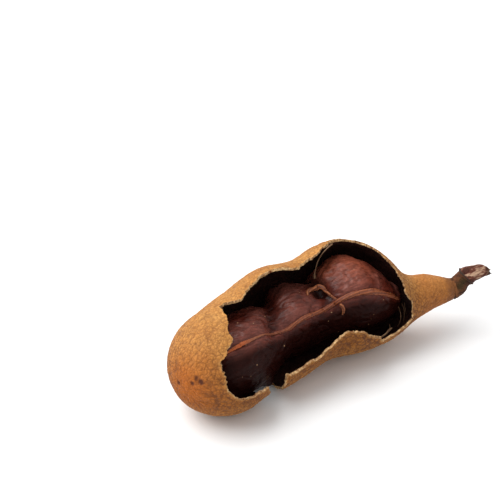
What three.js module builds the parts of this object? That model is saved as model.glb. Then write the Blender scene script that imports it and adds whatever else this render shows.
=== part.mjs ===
// A ripe sweet tamarind pod, cracked open along one side so that its pulp and fibres show.
// Millimetres, +Z up. +X runs along the pod from the blossom end to the stalk, -Y is the cracked side.
// The origin is under the middle of the pod, on the surface that it lies on.
import * as THREE from 'three';
import { mergeVertices } from 'three/addons/utils/BufferGeometryUtils.js';

// ---- driving dimensions ----
const WALL = 1.1; // thickness of the brittle shell
const FIBRE_LIFT = 0.55; // from the pulp to a fibre's side, so that 0.3 mm of air is left on its slopes
const BLOSSOM_CAP = 13.4; // length of the rounded blossom end beyond the first ring
const NECK_CAP = 0.42; // slight dome that closes the neck under the stalk
const HOLLOW_TAPER = [6.6, 7.6]; // the hollow narrows and closes between these two shell rings
const PULP_CAPS = [2.8, 2.4]; // rounded ends of the pulp
const PULP_RIDGE = 0.06; // height of the ridge under the main fibre, as a share of the radius
const RIDGE_ANGLE = 54; // where that ridge runs, in degrees from the top towards the cracked side
const LOBE_VALLEYS = [ // between the pulp's three lobes: ring number, its lean per degree, depth and width
  [4.72, -0.02, 1.3, 0.62],
  [7.38, 0.0, 1.5, 0.44],
];
const MAIN_FIBRE_RADIUS = 0.6;
const FINE_FIBRE_RADIUS = 0.35;
const MID_HEADING = 3.8; // direction of the pod at x = 0, in degrees from +X towards +Y
const HEADING_PER_MM = -0.45; // how fast that direction turns along the pod
const CENTRING = new THREE.Vector3(0.15, -0.18, 0); // brings the middle of the pod over the origin

// Rings of the shell from the blossom end to the neck: x, y and z of the centre, then the radius.
// Three swellings, one for each seed chamber, touch the ground and are flattened where they do.
const SHELL_RINGS = [
  [-31.5, -4.3, 12.4, 12.7],
  [-22.5, -1.1, 13.2, 13.0],
  [-13.5, 1.2, 13.7, 14.0],
  [-4.5, 2.7, 13.3, 13.0],
  [2.5, 2.5, 14.3, 14.1],
  [9.0, 2.9, 13.8, 14.1],
  [15.5, 1.4, 12.8, 11.7],
  [21.5, -1.4, 11.2, 6.3],
  [28.0, -1.6, 11.0, 4.5],
  [33.5, -2.6, 10.6, 2.9],
];

// Rings of the pulp, which has shrunk from the shell and lies on its floor and back wall.
const PULP_RINGS = [
  [-38.6, -6.2, 10.2, 5.2],
  [-34.1, -4.7, 10.1, 8.2],
  [-28.1, -2.6, 10.37, 8.9],
  [-22.6, -0.5, 10.7, 8.8],
  [-18.7, 1.0, 10.7, 8.2],
  [-14.7, 2.3, 10.8, 7.5],
  [-9.8, 4.0, 10.7, 8.5],
  [-3.7, 4.8, 10.8, 8.1],
  [1.4, 4.6, 12.0, 8.5],
  [8.0, 5.0, 12.3, 9.7],
  [12.0, 4.2, 11.9, 8.9],
  [15.3, 2.7, 11.7, 6.8],
  [17.9, 0.9, 11.1, 4.0],
];

// Broken edge of the shell: x of the ring's centre, then degrees from the top towards the cracked side.
// It ends in a crack that runs down to the underside.
const BROKEN_EDGE = [
  [-26.1, 131],
  [-26.7, 120],
  [-29.1, 104],
  [-33.3, 102],
  [-37.5, 99],
  [-39.2, 84],
  [-39.6, 66],
  [-38.9, 42],
  [-35.8, 34],
  [-33.8, 20],
  [-30.5, -3],
  [-29.3, -15],
  [-27.6, -16],
  [-24.8, -4],
  [-21.6, -11],
  [-16.6, -15],
  [-12.6, -13],
  [-9.2, -6],
  [-7.1, -4],
  [-5.2, -11],
  [-0.4, -15],
  [3.4, -22],
  [5.2, -30],
  [10.5, -30],
  [13.2, -24],
  [15.1, 8],
  [17.1, 34],
  [16.9, 56],
  [19.3, 67],
  [19.5, 103],
  [17.7, 113],
  [12.8, 116],
  [10.2, 120],
  [4.5, 102],
  [-1.7, 87],
  [-5.9, 96],
  [-11.0, 104],
  [-17.5, 108],
  [-22.3, 106],
  [-22.0, 121],
  [-21.2, 132],
  [-20.0, 146],
  [-20.3, 162],
  [-21.2, 173],
  [-23.9, 174],
  [-25.0, 163],
  [-25.6, 146],
];

// The main fibre along the ridge of the pulp: pulp ring number, degrees from the top.
const MAIN_FIBRE = [
  [1.2, 28],
  [1.8, 32],
  [2.7, 38],
  [3.6, 46],
  [4.8, 53],
  [5.8, 51],
  [7.1, 53, 0.35],
  [8.2, 50],
  [9.2, 54],
  [10.0, 56],
  [10.9, 60],
  [12.0, 63],
];

// The side fibre that arches over a hollow in the pulp and runs down to the main fibre:
// pulp ring number, degrees from the top, height over the pulp.
const ARCH_FIBRE = [
  [6.7, 16, 0.1],
  [7.0, 11, 0.8],
  [7.3, 10, 1.5],
  [7.5, 17, 1.5],
  [7.6, 29, 0.8],
  [7.7, 41, 0.1],
];

// A short twig of the main fibre that runs down the front of the pulp.
const BRANCH_FIBRE = [
  [7.9, 62, 0.0],
  [7.95, 69, 0.2],
  [7.9, 76, 0.0],
];

// A loose thread from the upper broken edge down to the pulp, and a curled one in the lower corner.
const LOOSE_THREAD = [
  [4.4, 6.9, 27.3],
  [3.1, 6.6, 26.7],
  [1.3, 6.4, 25.6],
  [0.1, 6.3, 24.3],
  [-0.5, 6.2, 22.9],
  [-1.0, 6.1, 20.9],
];
const CURLED_FIBRE = [
  [10.9, -6.6, 6.0],
  [11.6, -6.7, 6.3],
  [12.4, -6.7, 6.7],
  [13.1, -6.6, 7.2],
  [14.1, -6.4, 7.7],
];

// The woody stalk: x, y and z of the centre, then the radius.
const STALK_RINGS = [
  [35.15, -2.9, 10.6, 2.6],
  [36.2, -3.05, 10.7, 2.4],
  [36.6, -3.1, 12.1, 2.3],
  [37.2, -3.3, 13.2, 2.2],
  [38.3, -3.6, 13.8, 2.3],
  [39.9, -3.9, 14.2, 1.95],
  [42.1, -4.3, 14.4, 1.7],
  [44.2, -4.7, 13.8, 0.9],
];

const UP = new THREE.Vector3(0, 0, 1);

function radians(degrees) {
  return THREE.MathUtils.degToRad(degrees);
}

function headingAt(x) {
  const angle = radians(MID_HEADING + HEADING_PER_MM * x);
  return new THREE.Vector3(Math.cos(angle), Math.sin(angle), 0);
}

// A row of upright rings with a rounded cap at each end. Ring numbers run from -1, the tip of the
// first cap, to the last ring plus 1, the tip of the last cap.
class RingRow {
  constructor(rings, firstCap, lastCap) {
    const centres = rings.map(([x, y, z]) => new THREE.Vector3(x, y, z));
    const radii = rings.map((ring) => new THREE.Vector3(ring[3], 0, 0));
    this.last = rings.length - 1;
    this.caps = [firstCap, lastCap];
    this.centres = new THREE.CatmullRomCurve3(centres, false, 'catmullrom', 0.5);
    this.radii = new THREE.CatmullRomCurve3(radii, false, 'catmullrom', 0.5);
  }

  at(ring) {
    const share = THREE.MathUtils.clamp(ring / this.last, 0, 1);
    const centre = this.centres.getPoint(share);
    const forward = headingAt(centre.x);
    const first = THREE.MathUtils.clamp(-ring, 0, 1) * Math.PI / 2;
    const final = THREE.MathUtils.clamp(ring - this.last, 0, 1) * Math.PI / 2;
    const shift = this.caps[1] * Math.sin(final) - this.caps[0] * Math.sin(first);
    const radius = this.radii.getPoint(share).x * Math.cos(first) * Math.cos(final);
    return { centre: centre.addScaledVector(forward, shift), forward, radius };
  }

  // The point at an angle from the top; reach turns the ring's radius into the distance used.
  point(ring, degrees, reach) {
    const { centre, forward, radius } = this.at(ring);
    const side = new THREE.Vector3().crossVectors(forward, UP);
    const distance = reach(radius);
    const angle = radians(degrees);
    centre.addScaledVector(UP, distance * Math.cos(angle));
    return centre.addScaledVector(side, distance * Math.sin(angle));
  }
}

const SHELL = new RingRow(SHELL_RINGS, BLOSSOM_CAP, NECK_CAP);
const PULP = new RingRow(PULP_RINGS, PULP_CAPS[0], PULP_CAPS[1]);

function spread(from, to, steps) {
  return Array.from({ length: steps + 1 }, (_, i) => from + (to - from) * i / steps);
}

// Collects triangles, leaves out the empty ones, and welds them into one closed geometry.
class Faces {
  constructor() {
    this.numbers = [];
  }

  add(a, b, c) {
    const empty = a.distanceTo(b) < 1e-5 || b.distanceTo(c) < 1e-5 || c.distanceTo(a) < 1e-5;
    if (!empty) {
      this.numbers.push(a.x, a.y, a.z, b.x, b.y, b.z, c.x, c.y, c.z);
    }
  }

  quad(a, b, c, d) {
    this.add(a, b, c);
    this.add(a, c, d);
  }

  fan(points) {
    for (let i = 1; i < points.length - 1; i += 1) {
      this.add(points[0], points[i], points[i + 1]);
    }
  }

  geometry() {
    const loose = new THREE.BufferGeometry();
    loose.setAttribute('position', new THREE.Float32BufferAttribute(this.numbers, 3));
    const welded = mergeVertices(loose, 1e-4);
    welded.computeVertexNormals();
    return welded;
  }
}

// Lays faces over rows of points; every row closes on itself, and the first and last are tips.
function loft(rows) {
  const faces = new Faces();
  for (let i = 0; i < rows.length - 1; i += 1) {
    const count = rows[i].length;
    for (let j = 0; j < count; j += 1) {
      const next = (j + 1) % count;
      faces.quad(rows[i][j], rows[i][next], rows[i + 1][next], rows[i + 1][j]);
    }
  }
  return faces.geometry();
}

// ---- shell ----

// Distance from the broken edge in millimetres, above zero where the shell is left.
function shellLeft(ring, degrees) {
  const perDegree = radians(1) * 13;
  const place = new THREE.Vector2(SHELL.at(ring).centre.x, degrees * perDegree);
  const corners = BROKEN_EDGE.map(([x, angle]) => new THREE.Vector2(x, angle * perDegree));
  let nearest = Infinity;
  let inside = false;
  corners.forEach((a, i) => {
    const b = corners[(i + 1) % corners.length];
    const along = b.clone().sub(a);
    const share = THREE.MathUtils.clamp(place.clone().sub(a).dot(along) / along.lengthSq(), 0, 1);
    nearest = Math.min(nearest, place.distanceTo(a.clone().addScaledVector(along, share)));
    if ((a.y > place.y) !== (b.y > place.y)) {
      const crossing = a.x + along.x * (place.y - a.y) / along.y;
      inside = inside !== (place.x < crossing);
    }
  });
  return inside ? -nearest : nearest;
}

function outerPoint(ring, degrees) {
  const point = SHELL.point(ring, degrees, (radius) => radius);
  point.z = Math.max(point.z, 0);
  return point;
}

function innerPoint(ring, degrees) {
  const [from, to] = HOLLOW_TAPER;
  const taper = THREE.MathUtils.clamp((ring - from) / (to - from), 0, 1);
  const closing = Math.sqrt(1 - taper * taper);
  const wall = ring < 0 ? WALL * (1 + ring) : WALL;
  const point = SHELL.point(ring, degrees, (radius) => (radius - wall) * closing);
  const cap = THREE.MathUtils.clamp(-ring, 0, 1) * Math.PI / 2;
  return point.addScaledVector(headingAt(SHELL.at(0).centre.x), WALL * Math.sin(cap));
}

// Keeps the part of a triangle outside the broken edge and remembers the two points of a cut.
function trimmed(corners) {
  const kept = [];
  const cut = [];
  corners.forEach((a, i) => {
    const b = corners[(i + 1) % corners.length];
    if (a.left > 0) {
      kept.push(a);
    }
    if ((a.left > 0) !== (b.left > 0)) {
      const share = THREE.MathUtils.clamp(a.left / (a.left - b.left), 0.15, 0.85);
      const onward = a.left > 0 ? share : 1 - THREE.MathUtils.clamp(b.left / (b.left - a.left), 0.15, 0.85);
      const point = {
        ring: THREE.MathUtils.lerp(a.ring, b.ring, onward),
        degrees: THREE.MathUtils.lerp(a.degrees, b.degrees, onward),
      };
      kept.push(point);
      cut.push({ point, leaves: a.left > 0 });
    }
  });
  return { kept, cut };
}

function addShellTriangle(faces, corners) {
  const { kept, cut } = trimmed(corners);
  if (kept.length < 3) {
    return;
  }
  const outer = kept.map(({ ring, degrees }) => outerPoint(ring, degrees));
  const inner = kept.map(({ ring, degrees }) => innerPoint(ring, degrees));
  faces.fan(outer);
  faces.fan(inner.slice().reverse());
  if (cut.length === 2) {
    const from = kept.indexOf(cut.find(({ leaves }) => leaves).point);
    const to = kept.indexOf(cut.find(({ leaves }) => !leaves).point);
    faces.quad(outer[to], outer[from], inner[from], inner[to]);
  }
}

function shellGeometry() {
  const faces = new Faces();
  const cap = spread(-1, 0, 7).slice(0, -1);
  const body = spread(0, HOLLOW_TAPER[0] - 0.1, 36).slice(0, -1);
  const rings = [...cap, ...body, ...spread(HOLLOW_TAPER[0] - 0.1, HOLLOW_TAPER[1], 5)];
  const sides = spread(-180, 180, 40);
  const node = (ring, degrees) => ({ ring, degrees, left: shellLeft(ring, degrees) });
  const grid = rings.map((ring) => sides.map((degrees) => node(ring, degrees)));
  for (let i = 0; i < rings.length - 1; i += 1) {
    for (let j = 0; j < sides.length - 1; j += 1) {
      const [a, b, c, d] = [grid[i][j], grid[i][j + 1], grid[i + 1][j + 1], grid[i + 1][j]];
      addShellTriangle(faces, [a, b, c]);
      addShellTriangle(faces, [a, c, d]);
    }
  }
  // The solid neck beyond the hollow.
  const neck = spread(HOLLOW_TAPER[1], SHELL.last, 4).concat([SHELL.last + 0.6, SHELL.last + 1]);
  for (let i = 0; i < neck.length - 1; i += 1) {
    for (let j = 0; j < sides.length - 1; j += 1) {
      const at = (k, m) => outerPoint(neck[k], sides[m]);
      faces.quad(at(i, j), at(i, j + 1), at(i + 1, j + 1), at(i + 1, j));
    }
  }
  return faces.geometry();
}

// ---- pulp ----

// How far two valleys lower the top of the pulp, fading down the front and the back.
function valleyDepth(ring, degrees) {
  const smooth = THREE.MathUtils.smoothstep;
  const fade = smooth(degrees, -110, -40) * (1 - smooth(degrees, 38, 72));
  return LOBE_VALLEYS.reduce((sum, [at, lean, depth, width]) => {
    return sum + fade * depth * Math.exp(-(((ring - at - lean * degrees) / width) ** 2));
  }, 0);
}

function pulpPoint(ring, degrees, lift = 0) {
  const away = THREE.MathUtils.euclideanModulo(degrees - RIDGE_ANGLE + 180, 360) - 180;
  const ridge = 1 + PULP_RIDGE * Math.exp(-((away / 24) ** 2));
  const rise = lift - valleyDepth(ring, degrees);
  return PULP.point(ring, degrees, (radius) => radius * ridge + rise * Math.min(1, radius / 4));
}

function pulpGeometry() {
  const rings = [-1, -0.8, -0.5, ...spread(0, PULP.last, 48), PULP.last + 0.5, PULP.last + 0.8, PULP.last + 1];
  const sides = spread(-180, 180, 28).slice(0, -1);
  return loft(rings.map((ring) => sides.map((degrees) => pulpPoint(ring, degrees))));
}

// ---- fibres ----

// A round cord along a smooth path, closed to a tip at both ends.
function cordGeometry(points, radius, steps) {
  const path = new THREE.CatmullRomCurve3(points, false, 'centripetal');
  const frames = path.computeFrenetFrames(steps, false);
  const sides = spread(0, 360, 8).slice(0, -1);
  const rows = spread(0, 1, steps).map((share, i) => {
    const width = i === 0 || i === steps ? 0 : radius * Math.min(1, 0.6 + 0.4 * Math.min(i - 1, steps - 1 - i));
    return sides.map((degrees) => {
      const angle = radians(degrees);
      const point = path.getPointAt(share);
      point.addScaledVector(frames.normals[i], width * Math.cos(angle));
      return point.addScaledVector(frames.binormals[i], width * Math.sin(angle));
    });
  });
  return loft(rows);
}

// Three points on each stretch between stops, all lifted clear of the pulp.
function pulpPath(stops, radius) {
  const path = new THREE.CatmullRomCurve3(stops.map(([ring, degrees, height = 0]) => {
    return new THREE.Vector3(ring, degrees, height);
  }), false, 'catmullrom', 0.5);
  return spread(0, 1, 3 * (stops.length - 1)).map((share) => {
    const stop = path.getPoint(share);
    return pulpPoint(stop.x, stop.y, radius + FIBRE_LIFT + Math.max(stop.z, 0));
  });
}

function threadPath(stops) {
  return stops.map(([x, y, z]) => new THREE.Vector3(x, y, z));
}

// ---- stalk ----

function stalkGeometry() {
  const centres = STALK_RINGS.map(([x, y, z]) => new THREE.Vector3(x, y, z));
  const path = new THREE.CatmullRomCurve3(centres, false, 'catmullrom', 0.5);
  const radii = new THREE.CatmullRomCurve3(STALK_RINGS.map((ring) => new THREE.Vector3(ring[3], 0, 0)));
  const sides = spread(0, 360, 20).slice(0, -1);
  const rows = spread(0, 1, 18).map((share) => {
    const tangent = path.getTangent(share);
    const side = new THREE.Vector3().crossVectors(tangent, UP).normalize();
    const rise = new THREE.Vector3().crossVectors(side, tangent);
    const radius = radii.getPoint(share).x;
    return sides.map((degrees) => {
      const point = path.getPoint(share).addScaledVector(rise, radius * Math.cos(radians(degrees)));
      return point.addScaledVector(side, radius * Math.sin(radians(degrees)));
    });
  });
  const tip = (centre) => sides.map(() => centre.clone());
  return loft([tip(centres[0]), ...rows, tip(centres[centres.length - 1])]);
}

// ---- assembly ----

const LOOKS = {
  shell: new THREE.MeshStandardMaterial({ color: 0xc0914f, roughness: 0.85, metalness: 0 }),
  pulp: new THREE.MeshStandardMaterial({ color: 0x4a2019, roughness: 0.45, metalness: 0 }),
  fibre: new THREE.MeshStandardMaterial({ color: 0x9a5a38, roughness: 0.7, metalness: 0 }),
  thread: new THREE.MeshStandardMaterial({ color: 0xa88b70, roughness: 0.8, metalness: 0 }),
  stalk: new THREE.MeshStandardMaterial({ color: 0x6b4a35, roughness: 0.9, metalness: 0 }),
};

function piece(name, geometry, look) {
  const mesh = new THREE.Mesh(geometry, look);
  mesh.name = name;
  return mesh;
}

const main = pulpPath(MAIN_FIBRE, MAIN_FIBRE_RADIUS);
const arch = pulpPath(ARCH_FIBRE, FINE_FIBRE_RADIUS);
const branch = pulpPath(BRANCH_FIBRE, FINE_FIBRE_RADIUS);

const pod = new THREE.Group();
pod.position.copy(CENTRING);
pod.add(piece('shell', shellGeometry(), LOOKS.shell));
pod.add(piece('pulp', pulpGeometry(), LOOKS.pulp));
pod.add(piece('main_fibre', cordGeometry(main, MAIN_FIBRE_RADIUS, 48), LOOKS.fibre));
pod.add(piece('arch_fibre', cordGeometry(arch, FINE_FIBRE_RADIUS, 20), LOOKS.fibre));
pod.add(piece('branch_fibre', cordGeometry(branch, FINE_FIBRE_RADIUS, 8), LOOKS.fibre));
pod.add(piece('loose_thread', cordGeometry(threadPath(LOOSE_THREAD), 0.22, 14), LOOKS.thread));
pod.add(piece('curled_fibre', cordGeometry(threadPath(CURLED_FIBRE), 0.3, 12), LOOKS.thread));
pod.add(piece('stalk', stalkGeometry(), LOOKS.stalk));

export default pod;
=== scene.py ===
import bpy
import numpy as np
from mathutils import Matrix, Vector


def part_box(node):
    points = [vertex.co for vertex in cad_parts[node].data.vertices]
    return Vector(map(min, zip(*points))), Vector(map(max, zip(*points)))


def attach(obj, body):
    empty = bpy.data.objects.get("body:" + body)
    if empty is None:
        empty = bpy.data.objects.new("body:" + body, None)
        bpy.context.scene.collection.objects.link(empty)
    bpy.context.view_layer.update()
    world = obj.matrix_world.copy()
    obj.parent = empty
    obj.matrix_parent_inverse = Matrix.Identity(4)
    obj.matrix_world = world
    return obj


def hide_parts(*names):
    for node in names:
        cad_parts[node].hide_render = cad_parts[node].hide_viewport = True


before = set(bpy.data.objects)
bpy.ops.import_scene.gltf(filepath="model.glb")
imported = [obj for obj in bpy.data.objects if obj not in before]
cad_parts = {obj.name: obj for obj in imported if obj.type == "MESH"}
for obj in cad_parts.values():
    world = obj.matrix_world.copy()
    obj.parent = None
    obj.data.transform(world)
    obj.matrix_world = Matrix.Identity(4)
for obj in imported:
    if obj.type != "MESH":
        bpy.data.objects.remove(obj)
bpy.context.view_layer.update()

# ---------------------------------------------------------------------------------------------
# Shell: the dry, brittle pod wall, a little over a millimetre thick, grown as one piece from the
# blossom end over three swellings to the neck. Its tan skin is wrinkled like fine leather and
# painted darker down its sides as painted shade, its brown lining is painted near black as painted
# shade in the hollow, and one side has been cracked away along a crumbling, jagged edge.

MM = 0.001
SHELL_CORNER = np.array([-44.80, -16.86, 0.0])  # lowest corner of these rings' shell, in millimetres
CENTRING = np.array(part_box("shell")[0]) / MM - SHELL_CORNER  # onto the frame's own shell
SHELL_RINGS = np.array([  # centre x, y, z and radius, from the blossom end to the neck
    (-31.5, -4.3, 12.4, 12.7), (-22.5, -1.1, 13.2, 13.0), (-13.5, 1.2, 13.7, 14.0),
    (-4.5, 2.7, 13.3, 13.0), (2.5, 2.5, 14.3, 14.1), (9.0, 2.9, 13.8, 14.1),
    (15.5, 1.4, 12.8, 11.7), (21.5, -1.4, 11.2, 6.3), (28.0, -1.6, 11.0, 4.5),
    (33.5, -2.6, 10.6, 2.9)])
SHELL_CAPS = (13.4, 0.6)
WALL = 1.1
HOLLOW_TAPER = (6.6, 7.6)  # the hollow closes between these rings
UNROLL_RADIUS = 13  # millimetres; turns degrees round the shell into a distance
BROKEN_EDGE = np.array([  # x along the pod and degrees from the top, round the broken edge
    (-26.1, 131), (-26.7, 120), (-27.6, 113), (-29.1, 104), (-31.5, 100), (-33.3, 102), (-35.5, 101),
    (-37.5, 99), (-38.3, 93), (-39.2, 84), (-39.6, 68), (-39.4, 54), (-38.9, 42), (-37.6, 40),
    (-35.8, 34), (-34.2, 30), (-33.7, 18), (-31.5, 8), (-30.1, -5), (-29.3, -15), (-27.6, -17),
    (-26.2, -10), (-24.8, -4), (-23.6, -7), (-21.6, -11), (-19.2, -13), (-16.6, -15), (-14.8, -14),
    (-12.6, -13), (-11.1, -10), (-9.2, -6), (-7.1, -4), (-5.2, -11), (-2.2, -14), (-0.4, -15),
    (1.1, -18), (3.4, -22), (5.2, -30), (7.5, -31), (10.5, -30), (13.2, -24), (15.0, -12),
    (15.1, 8), (16.1, 17), (17.1, 34), (17.4, 45), (16.9, 56), (19.3, 67), (19.4, 85), (19.5, 103),
    (17.7, 113), (15.5, 113), (12.8, 116), (10.2, 120), (8.0, 110), (4.5, 102), (2.1, 95),
    (-1.7, 87), (-3.3, 90), (-5.9, 96), (-8.0, 98), (-9.6, 100), (-11.0, 104), (-13.5, 104),
    (-15.7, 104), (-17.5, 108), (-20.0, 109), (-22.3, 106), (-22.6, 113), (-22.0, 121),
    (-21.2, 132), (-20.0, 146), (-19.1, 160), (-18.6, 175), (-20.3, 192), (-22.8, 190),
    (-24.2, 178), (-24.9, 163), (-25.6, 146)])
BLOSSOM_SCARS = [  # ring number, degrees from the top, size in millimetres
    (-0.94, -60, 0.62), (-0.81, 53, 0.62), (-0.70, 56, 0.75), (-0.73, 45, 0.6)]


def hashed(cell, seed):
    """A number from 0 to 1 for each whole-number cell: its coordinates times large primes, mixed by
    exclusive-or and a shift, and cut to 16 bits."""
    c = cell.astype(np.int64)
    n = (c[..., 0] * 73856093) ^ (c[..., 1] * 19349663) ^ (c[..., 2] * 83492791) ^ (seed * 19260817)
    n = ((n ^ (n >> 13)) * 1274126177) & 0xFFFFFFFF
    n = ((n ^ (n >> 15)) * 2246822519) & 0xFFFFFFFF
    return ((n ^ (n >> 16)) & 0xFFFF) / 65535.0


def smooth_noise(points, size, seed):
    """Noise from 0 to 1 that changes over about size: a random number at each corner of a cube of
    that size, blended along each axis by 3 f^2 - 2 f^3."""
    p = points / size
    cell = np.floor(p)
    f = p - cell
    f = f * f * (3 - 2 * f)
    total = np.zeros(p.shape[:-1])
    for corner in np.ndindex(2, 2, 2):
        share = np.where(np.array(corner) == 1, f, 1 - f).prod(axis=-1)
        total += share * hashed(cell + corner, seed)
    return total


def rough_noise(points, size, seed, layers=4):
    """Layers of smooth noise, each half the size and 0.55 of the strength of the last, 0 to 1."""
    weights = 0.55 ** np.arange(layers)
    parts = [w * smooth_noise(points, size / 2 ** k, seed + 7 * k) for k, w in enumerate(weights)]
    return sum(parts) / weights.sum()


def wandering(points, size, reach, seed):
    """The points, each moved by up to half of reach by three smooth noises."""
    moves = [smooth_noise(points, size, seed + k) - 0.5 for k in (0, 1, 2)]
    return points + reach * np.stack(moves, axis=-1)


def cell_pattern(points, size, seed):
    """Distances, in cells, to the nearest and second nearest of random points, one in each cube."""
    p = points / size
    base = np.floor(p)
    near = np.full(p.shape[:-1], 9.0)
    second = near.copy()
    for step in np.ndindex(3, 3, 3):
        cube = base + np.array(step) - 1
        dot = cube + np.stack([hashed(cube, seed + k) for k in (0, 1, 2)], axis=-1)
        gap = np.linalg.norm(p - dot, axis=-1)
        second = np.minimum(second, np.maximum(near, gap))
        near = np.minimum(near, gap)
    return near, second


def eased(value, low, high):
    """0 below low, 1 above high, and 3 f^2 - 2 f^3 between them."""
    f = np.clip((value - low) / (high - low), 0, 1)
    return f * f * (3 - 2 * f)


def curve_at(rows, place):
    """The Catmull-Rom curve through rows, at place 0 for the first and 1 more for each next row."""
    last = len(rows) - 1
    padded = np.vstack([2 * rows[0] - rows[1], rows, 2 * rows[-1] - rows[-2]])
    i = np.clip(np.floor(place).astype(int), 0, last - 1)
    f = (place - i)[..., None]
    a, b, c, d = padded[i], padded[i + 1], padded[i + 2], padded[i + 3]
    cubic = (3 * b - a - 3 * c + d) * f ** 3
    return 0.5 * (2 * b + (c - a) * f + (2 * a - 5 * b + 4 * c - d) * f ** 2 + cubic)


def pod_turn(x):
    """The angle the upright rings at x are turned by, so that they stand across the bent pod."""
    return np.radians(3.8 - 0.45 * x)


def turned_from(angle, degrees):
    """The angle from a direction given in degrees, between minus and plus half a turn."""
    return np.angle(np.exp(1j * (angle - np.radians(degrees))))


def around(rows, caps, ring, angle, reach, blunt=1.0):
    """Points on a row of upright rings: centre + reach(radius) (cos angle up + sin angle side), where
    the rings turn with x, and quarter ellipses close both ends (ring below 0 and past the last). The
    last one is squarer the smaller blunt is."""
    last = len(rows) - 1
    at = curve_at(rows, np.clip(ring, 0, last))
    turn = pod_turn(at[..., 0])
    forward = np.stack([np.cos(turn), np.sin(turn), 0 * turn], axis=-1)
    side = np.stack([np.sin(turn), -np.cos(turn), 0 * turn], axis=-1)
    first = np.clip(-ring, 0, 1) * np.pi / 2
    final = np.clip(ring - last, 0, 1) * np.pi / 2
    shift = caps[1] * np.sin(final) - caps[0] * np.sin(first)
    centre = at[..., :3] + forward * shift[..., None]
    distance = reach(at[..., 3] * np.cos(first) * (np.cos(final) - 1e-12).clip(0) ** blunt)[..., None]
    up = np.array([0.0, 0.0, 1.0])
    return centre + distance * (np.cos(angle)[..., None] * up + np.sin(angle)[..., None] * side)


def facing(surface, ring, angle):
    """Outward unit normals of surface(ring, angle): the cross product of its two slopes, or straight
    out along the pod at a tip, where the slopes vanish."""
    e = 1e-3
    ring_in = np.clip(ring, -1 + 2 * e, None)
    along = surface(ring_in + e, angle) - surface(ring_in - e, angle)
    across = surface(ring_in, angle + e) - surface(ring_in, angle - e)
    n = np.cross(across, along)
    return n / np.maximum(np.linalg.norm(n, axis=-1, keepdims=True), 1e-12)


def edge_distance(x, angle):
    """Distance in millimetres from the broken edge, unrolled to x and a mean radius times the angle;
    above 0 where shell is left. The sign comes from counting how often a line crosses the edge."""
    per_degree = np.radians(1) * UNROLL_RADIUS
    px, py = x, ((angle + np.pi / 2) % (2 * np.pi) - np.pi / 2) * UNROLL_RADIUS
    ax, ay = BROKEN_EDGE[:, 0], BROKEN_EDGE[:, 1] * per_degree
    bx, by = np.roll(ax, -1), np.roll(ay, -1)
    nearest = np.full(px.shape, np.inf)
    inside = np.zeros(px.shape, bool)
    for x0, y0, x1, y1 in zip(ax, ay, bx, by):
        dx, dy = x1 - x0, y1 - y0
        share = np.clip(((px - x0) * dx + (py - y0) * dy) / (dx * dx + dy * dy), 0, 1)
        nearest = np.minimum(nearest, np.hypot(px - x0 - share * dx, py - y0 - share * dy))
        spans = (y0 > py) != (y1 > py)
        crossing = x0 + dx * (py - y0) / np.where(dy == 0, 1, dy)
        inside ^= spans & (px < crossing)
    return np.where(inside, -nearest, nearest)


def put_mesh(name, points, faces, materials, masks, material_index=None):
    """A smooth-shaded mesh object in metres at the origin, with one number per point for each mask."""
    mesh = bpy.data.meshes.new(name)
    mesh.from_pydata(((points + CENTRING) * MM).tolist(), [], faces.tolist())
    mesh.polygons.foreach_set("use_smooth", np.ones(len(faces), bool))
    for material in materials:
        mesh.materials.append(material)
    if material_index is not None:
        mesh.polygons.foreach_set("material_index", material_index.astype(np.int32))
    for mask, values in masks.items():
        layer = mesh.attributes.new(mask, "FLOAT", "POINT")
        layer.data.foreach_set("value", values.astype(np.float32))
    mesh.update()
    obj = bpy.data.objects.new(name, mesh)
    bpy.context.scene.collection.objects.link(obj)
    return obj


def picked(masks, points):
    """The masks at those points only."""
    return {name: values[points] for name, values in masks.items()}


def drop_empty(faces, points):
    """The triangles that keep three different corners once points at the same place are one, the
    points to keep, and which triangles were kept."""
    keys = np.round(points * 1e4).astype(np.int64)
    _, first, same = np.unique(keys, axis=0, return_index=True, return_inverse=True)
    faces = same.reshape(-1)[faces]
    a, b, c = faces.T
    kept = (a != b) & (b != c) & (c != a)
    return faces[kept], first, kept


def shell_outside(ring, angle):
    """The plain outer surface of the shell."""
    return around(SHELL_RINGS, SHELL_CAPS, ring, angle, lambda radius: radius, 0.2)


def skin_spot(ring, degrees):
    """One place on the plain outer surface."""
    return shell_outside(np.array([ring]), np.radians([degrees]))


def shell_lining(ring, angle):
    """The plain inner surface: a wall's thickness inside the outer one, closing in the neck."""
    taper = np.clip((ring - HOLLOW_TAPER[0]) / (HOLLOW_TAPER[1] - HOLLOW_TAPER[0]), 0, 1)
    closing = np.sqrt(1 - taper ** 2)
    wall = WALL * np.clip(1 + ring, 0, 1)
    cap = np.clip(-ring, 0, 1) * np.pi / 2
    start = pod_turn(SHELL_RINGS[0, 0])
    forward = np.array([np.cos(start), np.sin(start), 0.0])
    inner = around(SHELL_RINGS, SHELL_CAPS, ring, angle, lambda radius: (radius - wall) * closing)
    return inner + WALL * np.sin(cap)[..., None] * forward


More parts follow.
